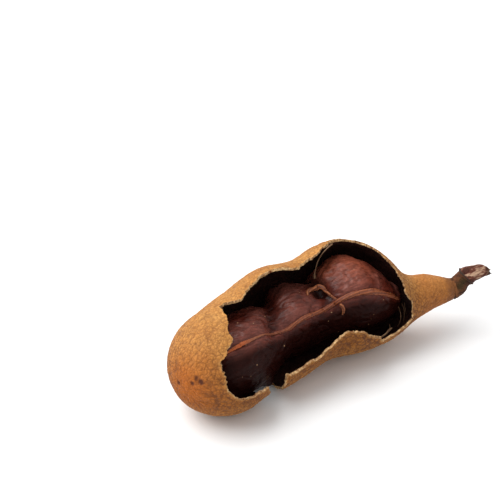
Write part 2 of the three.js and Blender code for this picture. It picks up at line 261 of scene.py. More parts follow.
def skin_pattern(points):
    """Height in millimetres of the wrinkled skin, and how much each point is groove, from 0 to 1.
    Two sizes of random cells stand up between narrow creases, over slow swells and shallow dents."""
    loose = wandering(points * np.array([0.8, 1.0, 1.0]), 2.2, 1.6, 11)
    near, second = cell_pattern(loose, 2.4, 21)
    folds = 1 - eased(second - near, 0.0, 0.16)
    near_fine, second_fine = cell_pattern(wandering(points, 1.0, 0.7, 12), 1.3, 31)
    creases = 1 - eased(second_fine - near_fine, 0.0, 0.25)
    patches = rough_noise(points, 6.0, 41, 3)
    strength = 0.35 + 0.65 * eased(patches, 0.38, 0.62)
    swell = rough_noise(points, 7.0, 51, 3) - 0.5
    dents = eased(rough_noise(points, 3.1, 61, 2), 0.62, 0.8)
    height = 0.5 * swell - 0.09 * strength * folds - 0.10 * creases - 0.14 * dents
    return height, np.clip(0.7 * strength * folds + 0.75 * creases, 0, 1)


def shell_arrays():
    """Points, triangles and masks of the shell. A grid of rings and angles is cut along the line
    where the edge distance is 0; the outer and the lining triangles are the same ones, turned
    round, and rows of quads across the wall join them along the cut."""
    around_count, along_count, rim_rows = 300, 256, 3
    station = np.linspace(-1, len(SHELL_RINGS) - 1, 4001)
    place = shell_outside(station, 0 * station)[:, 0]
    length = np.interp(np.linspace(0, 1, along_count), np.linspace(0, 1, 4001), place)
    ring_line = np.interp(length, place, station)
    cap_line = np.linspace(-1, 0, 64)
    end_line = len(SHELL_RINGS) - 1 + np.array([0.3, 0.6, 0.85, 0.97, 1.0])
    ring_line = np.concatenate([cap_line[:-1], ring_line[ring_line > 0.0], end_line])
    near_end = np.abs(ring_line - HOLLOW_TAPER[1]).argmin()
    ring_line[near_end] = HOLLOW_TAPER[1]
    angle_line = np.linspace(-np.pi, np.pi, around_count + 1)
    ring, angle = [g.ravel() for g in np.meshgrid(ring_line, angle_line, indexing="ij")]
    columns = around_count + 1
    row, column = np.meshgrid(np.arange(len(ring_line) - 1), np.arange(around_count), indexing="ij")
    a = (row * columns + column).ravel()
    b, c, d = a + 1, a + columns + 1, a + columns
    lean = (row + column).ravel() % 2 == 0
    first = np.where(lean[:, None], np.stack([a, b, c], 1), np.stack([a, b, d], 1))
    other = np.where(lean[:, None], np.stack([a, c, d], 1), np.stack([b, c, d], 1))
    faces = np.concatenate([first, other])

    flat = shell_outside(ring, angle)
    cap_along_x = 0.96 * SHELL_CAPS[0]  # the cap leans, so this much of it runs along x
    centre_x = curve_at(SHELL_RINGS, np.clip(ring, 0, None))[:, 0]
    centre_x = centre_x - cap_along_x * np.sin(np.clip(-ring, 0, 1) * np.pi / 2)
    chips = 1.1 * (rough_noise(flat, 1.5, 71, 3) - 0.5) + 0.5 * (smooth_noise(flat, 0.55, 72) - 0.5)
    left = edge_distance(centre_x, angle) + chips

    # Triangles that straddle the edge are cut: one corner is left of some, two of the others.
    kept = left[faces] > 0
    whole = faces[kept.all(axis=1)]
    crossed = kept.any(axis=1) & ~kept.all(axis=1)
    split, sides = faces[crossed], kept[crossed]
    lone = sides.sum(axis=1) == 1
    odd = np.where(lone, sides.argmax(axis=1), (~sides).argmax(axis=1))
    order = (odd[:, None] + np.arange(3)) % 3
    odd_v, next_v, last_v = np.take_along_axis(split, order, axis=1).T
    pairs = np.concatenate([np.stack([odd_v, next_v], 1), np.stack([odd_v, last_v], 1)])
    pairs = np.sort(pairs, axis=1)
    edges, index = np.unique(pairs, axis=0, return_inverse=True)
    share = np.clip(left[edges[:, 0]] / (left[edges[:, 0]] - left[edges[:, 1]]), 0.08, 0.92)
    cut_ring = ring[edges[:, 0]] + share * (ring[edges[:, 1]] - ring[edges[:, 0]])
    cut_angle = angle[edges[:, 0]] + share * (angle[edges[:, 1]] - angle[edges[:, 0]])
    cut = index.reshape(-1) + len(ring)
    cut_next, cut_last = cut[:len(split)], cut[len(split):]
    ones = np.stack([odd_v, cut_next, cut_last], 1)[lone]
    twos = np.concatenate([np.stack([cut_next, next_v, last_v], 1)[~lone],
                           np.stack([cut_next, last_v, cut_last], 1)[~lone]])
    outer_faces = np.concatenate([whole, ones, twos])
    rim_from = np.where(lone, cut_next, cut_last)
    rim_to = np.where(lone, cut_last, cut_next)

    # Both surfaces: skin relief, sunken scars, a lining worn thin at the edge, and the sprung flap.
    ring, angle = np.concatenate([ring, cut_ring]), np.concatenate([angle, cut_angle])
    left = np.concatenate([left, np.zeros(len(cut_ring))])
    count = len(ring)
    flat = shell_outside(ring, angle)
    normal = facing(shell_outside, ring, angle)
    height, groove = skin_pattern(flat)
    neck = eased(ring, 6.7, 7.7)
    height *= 1 - 0.45 * neck
    calm = eased(ring, -1.0, -0.93) * (1 - eased(ring, 8.6, 9.0))
    outer = flat + normal * (height * calm)[:, None]
    scars = [(skin_spot(*place), size) for *place, size in BLOSSOM_SCARS]
    for spot, size in scars:
        pit = np.exp(-(np.linalg.norm(flat - spot, axis=1) / (0.8 * size)) ** 2)
        outer -= normal * (0.35 * pit)[:, None]
    lining_ring = np.minimum(ring, HOLLOW_TAPER[1])
    inner = shell_lining(lining_ring, angle)
    fade = 1 - eased(ring, HOLLOW_TAPER[0], HOLLOW_TAPER[1])
    worn = 0.38 * np.exp(-left / 0.9) * eased(ring, -0.9, -0.6) * fade
    inner += (outer - inner) * worn[:, None]
    sprung = 0.9 * np.exp(-((flat[:, 0] + 19) / 6) ** 2) * eased(flat[:, 0], -24.3, -22.5)
    sprung *= eased(np.degrees(angle), 95, 135) * (1 - eased(np.degrees(angle), 155, 172))
    outer += normal * sprung[:, None]
    inner += normal * sprung[:, None]
    swell = 0.5 * (rough_noise(inner, 4.0, 81, 3) - 0.5)
    veins = 0.16 * (rough_noise(inner * np.array([0.25, 1, 1]), 0.9, 82, 2) - 0.5)
    inner = inner + (normal * (swell + veins)[:, None]) * (fade * eased(ring, -1, -0.9))[:, None]
    outer[:, 2] = np.maximum(outer[:, 2], 0.0)
    inner[:, 2] = np.maximum(inner[:, 2], 0.5 * WALL)

    # The lining is half as fine away from the edge: blocks of 2 x 2 points share their first one.
    grid_row, grid_column = np.divmod(np.arange(count), columns)
    grid_column = grid_column % around_count
    in_grid = np.arange(count) < len(ring_line) * columns
    block = np.where(in_grid, grid_row // 2 * columns + grid_column // 2, -1)
    nearest_edge = np.full(block.max() + 1, np.inf)
    np.minimum.at(nearest_edge, block[block >= 0], left[block >= 0])
    coarse = (block >= 0) & (nearest_edge[block] > 1.0) & (grid_row // 2 * 2 + 2 < near_end)
    corner = grid_row // 2 * 2 * columns + grid_column // 2 * 2
    lining_corner = np.where(coarse, corner, np.arange(count))
    inner_faces = outer_faces[(ring[outer_faces] <= HOLLOW_TAPER[1] + 1e-6).all(axis=1)][:, ::-1]
    inner_faces = lining_corner[inner_faces] + count
    # The broken thickness: rows of points between the two surfaces, made crumbly.
    start = 2 * count
    rim_points, rim_index = [], np.full((rim_rows + 2, count), -1)
    rim_index[0, :] = np.arange(count)
    rim_index[-1, :] = np.arange(count) + count
    rim_ids = np.unique(np.concatenate([rim_from, rim_to]))
    for k in range(1, rim_rows + 1):
        between = outer[rim_ids] + (inner[rim_ids] - outer[rim_ids]) * k / (rim_rows + 1)
        rim_index[k, rim_ids] = start + np.arange(len(rim_ids))
        start += len(rim_ids)
        crumbs = [rough_noise(between, 0.45, seed, 2) - 0.5 for seed in (90, 91, 92)]
        rim_points.append(between + 0.7 * np.stack(crumbs, axis=-1))
    rim_faces = []
    for k in range(rim_rows + 1):
        p, q = rim_index[k], rim_index[k + 1]
        rim_faces.append(np.stack([p[rim_to], p[rim_from], q[rim_from]], 1))
        rim_faces.append(np.stack([p[rim_to], q[rim_from], q[rim_to]], 1))
    rim_faces = np.concatenate(rim_faces)

    points = np.concatenate([outer, inner] + rim_points)
    faces = np.concatenate([outer_faces, inner_faces, rim_faces])
    look = np.repeat([0, 1, 2], [len(outer_faces), len(inner_faces), len(rim_faces)])
    zeros = np.zeros(len(points) - count)
    # Painted shade: low is 1 on side- and down-facing skin, away from the light, and drops again on the
    # very underside as painted light bounced up from the floor.
    low = np.clip((1 - normal[:, 2]) / 1.25, 0, 1) * (1 - 0.7 * eased(-normal[:, 2], 0.25, 0.8))
    skin_masks = {"groove": groove, "low": low, "edge": 1 - eased(left, 0.0, 0.5), "neck": neck,
                  "end": eased(ring, 8.45, 9.0)}
    masks = {name: np.concatenate([values, zeros]) for name, values in skin_masks.items()}
    masks["scar"] = np.zeros(len(points))
    masks["blush"] = np.exp(-(np.linalg.norm(points - skin_spot(-0.88, 62), axis=1) / 8.0) ** 2)
    for spot, size in scars:
        gap = np.linalg.norm(wandering(points, 0.8, 0.35, 14) - spot, axis=1)
        masks["scar"] = np.maximum(masks["scar"], np.exp(-(gap / size) ** 2))
    used = np.bincount(faces.ravel(), minlength=len(points)) > 0
    renumber = np.cumsum(used) - 1
    points, faces = points[used], renumber[faces]
    faces, first, kept = drop_empty(faces, points)
    return points[first], faces, look[kept], picked(picked(masks, used), first)


def new_material(name, roughness, specular=0.5):
    """An empty material with a Principled shader, and its node tree."""
    material = bpy.data.materials.new(name)
    material.use_nodes = True
    shader = material.node_tree.nodes["Principled BSDF"]
    shader.inputs["Roughness"].default_value = roughness
    shader.inputs["Specular IOR Level"].default_value = specular
    return material, shader, material.node_tree


def linear(red, green, blue):
    """The scene colour of a screen colour given in steps of 255."""
    s = np.array([red, green, blue]) / 255
    return (*np.where(s <= 0.04045, s / 12.92, ((s + 0.055) / 1.055) ** 2.4), 1.0)


BLACK = (0, 0, 0, 1)


def node(tree, kind, place, **values):
    """A node of that kind at a column and row, with its settings and its inputs' values by name."""
    made = tree.nodes.new(kind)
    made.location = (place[0] * 220 - 1200, place[1] * -260 + 400)
    for key, value in values.items():
        if hasattr(made, key):
            setattr(made, key, value)
        else:
            made.inputs[key.replace("_", " ")].default_value = value
    return made


def mask_node(tree, name, place):
    """An Attribute node that reads one of the mesh's masks."""
    return node(tree, "ShaderNodeAttribute", place, attribute_name=name).outputs["Fac"]


def mixed(tree, factor, first, second, place):
    """A colour mixed from first to second by factor. Each may be a socket, a number or a colour."""
    made = node(tree, "ShaderNodeMix", place, data_type="RGBA")
    for socket, value in ((made.inputs[0], factor), (made.inputs[6], first), (made.inputs[7], second)):
        if isinstance(value, bpy.types.NodeSocket):
            tree.links.new(value, socket)
        else:
            socket.default_value = value
    return made.outputs[2]


def scaled(tree, value, low, high, place, to_low=0.0, to_high=1.0):
    """A value taken from the range low..high to to_low..to_high, kept inside it."""
    made = node(tree, "ShaderNodeMapRange", place)
    tree.links.new(value, made.inputs["Value"])
    for key, number in (("From Min", low), ("From Max", high), ("To Min", to_low), ("To Max", to_high)):
        made.inputs[key].default_value = number
    return made.outputs["Result"]


def part_of(tree, value, share, place):
    """A value from 0 to 1 multiplied by share."""
    return scaled(tree, value, 0, 1, place, 0, share)


def mottle_group():
    """Shared by every plant surface: cloudy patches, fine grain and specks on Object coordinates,
    at sizes given in millimetres, put out as three masks from 0 to 1."""
    group = bpy.data.node_groups.new("plant_mottle", "ShaderNodeTree")
    for name, size in (("Patch Size", 6.0), ("Grain Size", 0.5)):
        socket = group.interface.new_socket(name, in_out="INPUT", socket_type="NodeSocketFloat")
        socket.default_value = size
    for name in ("Patches", "Grain", "Specks"):
        group.interface.new_socket(name, in_out="OUTPUT", socket_type="NodeSocketFloat")
    start, end = node(group, "NodeGroupInput", (0, 0)), node(group, "NodeGroupOutput", (4, 0))
    place = node(group, "ShaderNodeTexCoord", (0, 1))
    layers = (("Patches", "Patch Size", 1.0, 0.6, 0.32, 0.68),
              ("Grain", "Grain Size", 1.0, 0.65, 0.32, 0.68),
              ("Specks", "Grain Size", 1.7, 0.4, 0.60, 0.72))
    for row, (output, size, share, roughness, low, high) in enumerate(layers):
        scale = node(group, "ShaderNodeMath", (1, row), operation="DIVIDE")
        scale.inputs[0].default_value = 1000 / share
        group.links.new(start.outputs[size], scale.inputs[1])
        noise = node(group, "ShaderNodeTexNoise", (2, row), Detail=4.0, Roughness=roughness)
        group.links.new(place.outputs["Object"], noise.inputs["Vector"])
        group.links.new(scale.outputs[0], noise.inputs["Scale"])
        group.links.new(scaled(group, noise.outputs["Fac"], low, high, (3, row)), end.inputs[output])
    return group


MOTTLE = mottle_group()


def mottle(tree, patch_size, grain_size, place):
    """The shared mottle in one material, with its own sizes in millimetres."""
    made = node(tree, "ShaderNodeGroup", place, node_tree=MOTTLE)
    made.inputs["Patch Size"].default_value = patch_size
    made.inputs["Grain Size"].default_value = grain_size
    return made.outputs["Patches"], made.outputs["Grain"], made.outputs["Specks"]


def bumped(tree, shader, height, distance, place):
    """Fine relief from a height socket, distance in millimetres."""
    made = node(tree, "ShaderNodeBump", place, Strength=1.0, Distance=distance * MM)
    tree.links.new(height, made.inputs["Height"])
    tree.links.new(made.outputs["Normal"], shader.inputs["Normal"])


def shell_skin():
    """Golden tan skin, painted lighter on top and darker on its side- and down-facing parts as painted
    light and shade, with a net of brown creases that is painted darker down the sides as painted
    shade, blushed orange at the blossom end, with brown scars and a paler worn line at the break."""
    material, shader, tree = new_material("shell_skin", 0.78, 0.3)
    patches, grain, specks = mottle(tree, 5.0, 0.42, (0, 0))
    groove, low = mask_node(tree, "groove", (0, 2)), mask_node(tree, "low", (0, 3))
    scar, edge = mask_node(tree, "scar", (0, 4)), mask_node(tree, "edge", (0, 5))
    place = node(tree, "ShaderNodeTexCoord", (-2, 6))
    bend = node(tree, "ShaderNodeTexNoise", (-1, 7), Scale=900.0, Detail=1.0)
    tree.links.new(place.outputs["Object"], bend.inputs["Vector"])
    shifted = node(tree, "ShaderNodeVectorMath", (0, 7), operation="MULTIPLY_ADD")
    shifted.inputs[1].default_value = (0.0007, 0.0007, 0.0007)
    tree.links.new(bend.outputs["Color"], shifted.inputs[0])
    tree.links.new(place.outputs["Object"], shifted.inputs[2])
    cells = node(tree, "ShaderNodeTexVoronoi", (1, 7), feature="DISTANCE_TO_EDGE", Scale=1150.0)
    tree.links.new(shifted.outputs["Vector"], cells.inputs["Vector"])
    net = scaled(tree, cells.outputs["Distance"], 0.02, 0.13, (2, 7), 1.0, 0.0)
    raised = scaled(tree, cells.outputs["Distance"], 0.0, 0.3, (2, 8))
    neck = mask_node(tree, "neck", (1, 3))
    # Painted shade: the brown net of creases is drawn darker where the low mask marks shaded skin.
    depth = scaled(tree, low, 0.1, 0.6, (2, 5), 0.45, 1.0)
    depth = mixed(tree, part_of(tree, neck, 0.55, (2, 6)), depth, BLACK, (3, 6))
    # Painted light and shade: a lit colour for upward-facing skin and a darker shaded copy, mixed by
    # the low mask.
    lit_colour = mixed(tree, patches, linear(184, 122, 56), linear(204, 146, 76), (2, 0))
    shaded_colour = mixed(tree, patches, linear(128, 74, 16), linear(152, 94, 28), (2, 1))
    colour = mixed(tree, low, lit_colour, shaded_colour, (3, 0))
    colour = mixed(tree, part_of(tree, neck, 0.5, (2, 3)), colour, linear(186, 112, 50), (3, 2))
    blush = part_of(tree, mask_node(tree, "blush", (3, 3)), 0.7, (3, 4))
    colour = mixed(tree, blush, colour, linear(180, 90, 6), (4, 1))
    colour = mixed(tree, part_of(tree, grain, 0.22, (3, 2)), colour, linear(122, 70, 26), (4, 0))
    depth = mixed(tree, scaled(tree, blush, 0.05, 0.7, (4, 7), 0, 0.7), depth, BLACK, (5, 6))
    creases = mixed(tree, scaled(tree, groove, 0.2, 1, (4, 2)), BLACK, depth, (4, 5))
    colour = mixed(tree, creases, colour, linear(88, 46, 16), (5, 0))
    threads = mixed(tree, net, BLACK, depth, (4, 6))
    colour = mixed(tree, part_of(tree, threads, 0.72, (5, 4)), colour, linear(90, 48, 16), (5, 1))
    colour = mixed(tree, part_of(tree, specks, 0.15, (5, 2)), colour, linear(84, 44, 18), (6, 0))
    colour = mixed(tree, scaled(tree, scar, 0.15, 0.7, (6, 2), 0, 0.9), colour,
                   linear(66, 26, 12), (7, 0))
    colour = mixed(tree, part_of(tree, edge, 0.45, (7, 2)), colour, linear(206, 150, 84), (8, 0))
    colour = mixed(tree, part_of(tree, mask_node(tree, "end", (8, 2)), 0.75, (9, 2)),
                   colour, linear(104, 62, 34), (9, 0))
    tree.links.new(colour, shader.inputs["Base Color"])
    tree.links.new(scaled(tree, grain, 0, 1, (7, 3), 0.62, 0.9), shader.inputs["Roughness"])
    bumped(tree, shader, raised, 0.085, (8, 3))
    return material


def shell_lining_look():
    """Red-brown lining, painted near black as painted shade inside the hollow, streaked along the pod
    by the veins that ran through it.
    """
    material, shader, tree = new_material("shell_lining", 0.6, 0.3)
    patches, grain, specks = mottle(tree, 3.0, 0.5, (0, 0))
    # Painted shade: the lining's brown is drawn near black, standing in for the shade inside the
    # hollow.
    colour = mixed(tree, patches, linear(30, 10, 7), linear(54, 22, 15), (2, 0))
    colour = mixed(tree, part_of(tree, specks, 0.5, (2, 2)), colour, linear(86, 46, 28), (3, 0))
    tree.links.new(colour, shader.inputs["Base Color"])
    tree.links.new(scaled(tree, grain, 0, 1, (3, 2), 0.5, 0.8), shader.inputs["Roughness"])
    bumped(tree, shader, grain, 0.08, (4, 2))
    return material


def shell_break_look():
    """The broken thickness of the wall: pale, crumbly and pitted, with red-brown patches and dark
    specks.
    """
    material, shader, tree = new_material("shell_break", 0.9, 0.2)
    patches, grain, specks = mottle(tree, 1.1, 0.4, (0, 0))
    colour = mixed(tree, patches, linear(112, 56, 26), linear(250, 210, 152), (2, 0))
    colour = mixed(tree, scaled(tree, grain, 0.35, 1, (2, 2), 0, 0.4), colour,
                   linear(112, 50, 22), (3, 0))
    colour = mixed(tree, part_of(tree, specks, 0.85, (3, 2)), colour, linear(74, 34, 20), (4, 0))
    tree.links.new(colour, shader.inputs["Base Color"])
    bumped(tree, shader, grain, 0.12, (4, 2))
    return material


shell_points, shell_faces, shell_look, shell_masks = shell_arrays()
shell = put_mesh("pod_shell", shell_points, shell_faces,
                 [shell_skin(), shell_lining_look(), shell_break_look()], shell_masks, shell_look)
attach(shell, "root")
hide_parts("shell")

# ---------------------------------------------------------------------------------------------
# Pulp: soft, sticky and dark red-brown, dried back from the shell into one lumpy mass with three
# lobes. It lies on the floor and the back wall of the hollow. Its skin is drawn into stringy
# wrinkles, with a ridge along the front under the main fibre.

PULP_RINGS = np.array([  # centre x, y, z and radius
    (-38.6, -6.2, 10.2, 5.2), (-34.1, -4.7, 10.1, 8.2), (-28.1, -2.6, 10.3, 8.9),
    (-22.6, -0.5, 10.7, 8.8), (-18.7, 1.0, 10.7, 8.2), (-14.7, 2.3, 10.8, 7.5),
    (-9.8, 4.0, 10.7, 8.5), (-3.7, 4.8, 10.8, 8.1), (1.4, 4.6, 12.0, 8.5),
    (8.0, 5.0, 12.3, 9.7), (12.0, 4.2, 11.9, 8.9), (15.3, 2.7, 11.7, 6.8), (17.9, 0.9, 11.1, 4.0)])
PULP_CAPS = (2.8, 2.4)
RIDGE_ANGLE = 54  # degrees from the top


def pulp_plain(ring, angle):
    """The pulp's rings, swollen 6 % along the ridge: radius (1 + 0.06 exp(-(turn / 24 degrees)^2))."""
    ridge = 1 + 0.06 * np.exp(-(turned_from(angle, RIDGE_ANGLE) / np.radians(24)) ** 2)
    return around(PULP_RINGS, PULP_CAPS, ring, angle, lambda radius: radius * ridge)


def dimple(points, ring, degrees, size):
    """1 at a place on the pulp, falling off as exp(-(distance / size)^2)."""
    spot = pulp_plain(np.array([float(ring)]), np.radians([float(degrees)]))
    return np.exp(-(np.linalg.norm(points - spot, axis=-1) / size) ** 2)


def pulp_height(points, angle):
    """Height of the pulp's relief in millimetres. Two valleys part the three lobes, the lobes swell
    between them, and stringy wrinkles, folds and grains follow the pod; there is a crumbly shoulder
    on the right lobe and a hollow under the arched fibre."""
    x = points[..., 0]
    turn = np.degrees(np.clip(angle, np.radians(-70), np.radians(110)))
    reach = eased(np.degrees(angle), -110, -40) * (1 - eased(np.degrees(angle), 38, 72))
    left_valley = -15.6 - 0.055 * np.clip(turn, -20, 60)
    right_valley = -1.6 + 0.010 * turn
    valleys = 1.4 * np.exp(-((x - left_valley) / 2.8) ** 2)
    valleys += 1.6 * np.exp(-((x - right_valley) / 2.0) ** 2)
    lobes = 0.5 * np.exp(-((x + 25) / 5.5) ** 2) + 0.9 * np.exp(-((x + 9.3) / 3.6) ** 2)
    lobes += 0.5 * np.exp(-((x - 7) / 6) ** 2)
    lumps = rough_noise(points, 5.5, 101, 3) - 0.5
    bent = wandering(points, 4.0, 3.0, 111)
    strings = rough_noise(bent * np.array([0.22, 1, 1]), 0.75, 121, 3)
    crease = np.abs(rough_noise(bent * np.array([0.3, 1, 1]), 2.2, 131, 2) - 0.5)
    folds = 1 - eased(crease, 0.0, 0.07)
    grains = rough_noise(points, 0.7, 141, 2) - 0.5
    crumbly = ((8.1, -12, 2.0), (8.4, -28, 2.4), (8.9, -38, 2.0))
    shoulder = sum(dimple(points, *spot) for spot in crumbly)
    height = reach * (lobes - valleys)
    height += 0.9 * lumps + 0.42 * (strings - 0.5) - 0.26 * folds + 0.16 * grains
    height += np.clip(shoulder, 0, 1) * (0.3 + 1.3 * grains)
    height -= 1.7 * dimple(points, 7.25, 22, 1.4)
    height += 0.8 * dimple(points, 7.1, 34, 1.4) + 1.9 * dimple(points, 3.2, 146, 2.3)
    return height


def pulp_surface(ring, angle):
    """The pulp's real surface: the plain one moved along its normal by the relief."""
    plain = pulp_plain(ring, angle)
    calm = eased(ring, -1, -0.7) * (1 - eased(ring, len(PULP_RINGS) - 0.4, len(PULP_RINGS)))
    height = pulp_height(plain, angle) * calm
    return plain + facing(pulp_plain, ring, angle) * height[..., None]


def grid_faces(rows, columns):
    """Quads over rows of points, each row closed on itself, cut in two, facing outwards."""
    row, column = np.meshgrid(np.arange(rows - 1), np.arange(columns), indexing="ij")
    after = (column + 1) % columns
    a, b = (row * columns + column).ravel(), (row * columns + after).ravel()
    c, d = ((row + 1) * columns + after).ravel(), ((row + 1) * columns + column).ravel()
    return np.concatenate([np.stack([a, b, c], 1), np.stack([a, c, d], 1)])


def even_rings(rows, caps, count):
    """Ring numbers from tip to tip, spaced evenly along x."""
    station = np.linspace(-1, len(rows), 3001)
    place = around(rows, caps, station, 0 * station, lambda radius: 0 * radius)[:, 0]
    return np.interp(np.linspace(place[0], place[-1], count), place, station)


def pulp_look():
    """Sticky red-brown pulp: a greyish sheen painted on its upward, lit skin as painted highlight,
    redder on the crumbly shoulder, painted shade nearly black in the folds, darker down the front as
    both its own colour and painted shade, with stringy streaks and a few pale crumbs of shell."""
    material, shader, tree = new_material("pulp_flesh", 0.42, 0.06)
    patches, grain, _ = mottle(tree, 3.0, 0.45, (0, 0))
    place = node(tree, "ShaderNodeTexCoord", (-2, 6))
    along = node(tree, "ShaderNodeMapping", (-1, 6), Scale=(260.0, 1300.0, 1300.0))
    tree.links.new(place.outputs["Object"], along.inputs["Vector"])
    fine = node(tree, "ShaderNodeTexNoise", (0, 6), Scale=1.0, Detail=4.0, Roughness=0.6,
                Distortion=0.6)
    tree.links.new(along.outputs["Vector"], fine.inputs["Vector"])
    strings = scaled(tree, fine.outputs["Fac"], 0.36, 0.62, (1, 6))
    dots = node(tree, "ShaderNodeTexVoronoi", (0, 8), feature="F1", Scale=420.0)
    tree.links.new(place.outputs["Object"], dots.inputs["Vector"])
    dot = scaled(tree, dots.outputs["Distance"], 0.05, 0.075, (1, 8), 1.0, 0.0)
    colour = mixed(tree, patches, linear(70, 22, 14), linear(120, 52, 38), (2, 0))
    # Painted highlight: a greyish sheen drawn on the upward-facing, lit lobes in place of their gloss.
    painted_sheen = part_of(tree, mask_node(tree, "painted_sheen", (0, 3)), 0.8, (2, 3))
    colour = mixed(tree, painted_sheen, colour, linear(146, 88, 76), (3, 0))
    colour = mixed(tree, mask_node(tree, "red", (3, 3)), colour, linear(158, 82, 58), (3, 1))
    colour = mixed(tree, scaled(tree, strings, 0, 1, (2, 6), 0.55, 0.0), colour,
                   linear(40, 10, 6), (4, 2))
    # Painted shade: nearly black where the relief sinks into folds and valleys.
    folds = part_of(tree, mask_node(tree, "painted_fold_shade", (0, 2)), 0.85, (3, 2))
    colour = mixed(tree, folds, colour, linear(24, 6, 4), (4, 0))
    # Darker down the front below the main fibre: partly the pulp's own darker colour, partly painted
    # shade on the side away from the light.
    front = part_of(tree, mask_node(tree, "front", (4, 3)), 0.9, (4, 4))
    colour = mixed(tree, front, colour, linear(24, 6, 4), (4, 1))
    colour = mixed(tree, part_of(tree, grain, 0.3, (4, 2)), colour, linear(36, 10, 8), (5, 0))
    colour = mixed(tree, part_of(tree, dot, 0.8, (5, 2)), colour, linear(190, 150, 112), (6, 0))
    tree.links.new(colour, shader.inputs["Base Color"])
    tree.links.new(scaled(tree, grain, 0, 1, (5, 3), 0.26, 0.5), shader.inputs["Roughness"])
    sticky = scaled(tree, mask_node(tree, "front", (5, 4)), 0, 1, (6, 4), 0.3, 0.02)
    tree.links.new(sticky, shader.inputs["Coat Weight"])
    shader.inputs["Coat Roughness"].default_value = 0.3
    bumped(tree, shader, strings, 0.07, (6, 3))
    return material


pulp_ring_line = even_rings(PULP_RINGS, PULP_CAPS, 210)
pulp_angle_line = np.linspace(-np.pi, np.pi, 193)[:-1]
pulp_grid = np.meshgrid(pulp_ring_line, pulp_angle_line, indexing="ij")
pulp_ring, pulp_angle = [values.ravel() for values in pulp_grid]
pulp_points = pulp_surface(pulp_ring, pulp_angle)
pulp_flat = pulp_plain(pulp_ring, pulp_angle)
pulp_rise = pulp_height(pulp_flat, pulp_angle)
fibre_line = np.interp(pulp_ring, [1, 3, 5, 8, 12], [27, 41, 53, 51, 63])
pulp_up = facing(pulp_plain, pulp_ring, pulp_angle)[:, 2]
pulp_shoulder = dimple(pulp_flat, 8.1, -12, 2.2) + dimple(pulp_flat, 8.4, -28, 2.4)
# Painted sheen: cloudy patches only on upward-facing pulp, where the light falls.
pulp_sheen_cloud = eased(rough_noise(pulp_flat, 5.0, 151, 3), 0.34, 0.66) * eased(pulp_up, 0.3, 0.9)
pulp_masks = {
    # Painted shade: 1 where the relief sinks into valleys and folds.
    "painted_fold_shade": 1 - eased(pulp_rise, -1.7, -0.4),
    "painted_sheen": pulp_sheen_cloud * (0.62 + 0.38 * eased(pulp_flat[:, 0], -14, 0)),
    "red": np.clip(pulp_shoulder + 0.95 * dimple(pulp_flat, 9.2, 6, 5.2), 0, 0.9),
    # Below the main fibre line: partly the pulp's own darker colour, partly painted shade on the front.
    "front": eased(np.degrees(pulp_angle) - fibre_line, 2, 20),
}
pulp_faces, first, _ = drop_empty(grid_faces(len(pulp_ring_line), len(pulp_angle_line)), pulp_points)
pulp = put_mesh("pod_pulp", pulp_points[first], pulp_faces, [pulp_look()],
                picked(pulp_masks, first))
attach(pulp, "root")
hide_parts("pulp")

# ---------------------------------------------------------------------------------------------
# Fibres: the stringy veins that fed the pod. The main one is half sunk in the pulp's front ridge;
# a side fibre arches off it over a hollow, a twig runs down the front, a loose thread hangs from
# the upper broken edge, and a pale curl has sprung out in the lower corner.

MAIN_FIBRE = np.array([  # pulp ring number, degrees from the top, radius, lift over the pulp
    (0.7, 27, 0.2, 0.1), (1.2, 28, 0.30, 0.25), (1.7, 31, 0.48, 0.35), (2.1, 34, 0.36, 0.3),
    (2.6, 37, 0.22, 0.2), (3.3, 43, 0.24, 0.15), (4.0, 48, 0.34, 0.15), (4.8, 53, 0.46, 0.1),
    (5.8, 51, 0.52, 0.1), (7.1, 53, 0.56, 0.1), (8.2, 50, 0.62, 0.15), (9.2, 54, 0.78, 0.25),
    (10.0, 56, 0.68, 0.2), (10.9, 60, 0.55, 0.2), (12.0, 63, 0.35, 0.2)])
ARCH_FIBRE = np.array([
    (6.65, 20, 0.2, 0.1), (6.75, 14, 0.42, 0.4), (7.05, 10, 0.5, 0.9), (7.35, 9, 0.62, 1.5),
    (7.5, 16, 0.5, 1.6), (7.55, 26, 0.36, 0.9), (7.65, 37, 0.28, 0.35), (7.8, 48, 0.2, 0.1)])
BRANCH_FIBRE = np.array([
    (7.85, 56, 0.4, 0.1), (7.95, 62, 0.4, 0.2), (7.95, 69, 0.32, 0.2), (7.9, 76, 0.15, 0.05)])
LOOSE_THREAD = np.array([  # x, y, z in millimetres, radius
    (4.4, 7.0, 27.6, 0.16), (3.1, 6.9, 27.0, 0.15), (1.3, 6.7, 25.8, 0.13), (0.1, 6.5, 24.3, 0.12),
    (-0.5, 6.3, 22.9, 0.12), (-1.0, 6.1, 21.4, 0.14), (-1.1, 5.9, 19.7, 0.3)])
CURLED_FIBRE = np.array([
    (10.4, -6.5, 5.6, 0.12), (10.9, -6.6, 5.95, 0.2), (11.6, -6.7, 6.3, 0.26),
    (12.4, -6.7, 6.65, 0.24), (13.1, -6.6, 7.15, 0.2), (13.8, -6.5, 7.6, 0.22),
    (14.2, -6.3, 7.6, 0.12)])
CORNER_HAIRS = [np.array(hair) for hair in (
    [(17.9, -4.6, 12.6, 0.046), (18.3, -5.2, 10.6, 0.041), (18.1, -5.6, 8.2, 0.046),
     (18.5, -5.5, 6.6, 0.035)],
    [(16.2, -5.6, 12.8, 0.036), (16.5, -6.4, 10.8, 0.046), (16.1, -6.8, 9.0, 0.036),
     (15.5, -6.6, 7.6, 0.035)],
    [(19.4, -3.4, 11.6, 0.035), (19.3, -4.2, 10.2, 0.036), (19.6, -4.4, 8.6, 0.035)],
    [(12.2, -7.0, 7.6, 0.035), (12.9, -7.3, 8.7, 0.041), (12.7, -7.2, 9.8, 0.035)])]


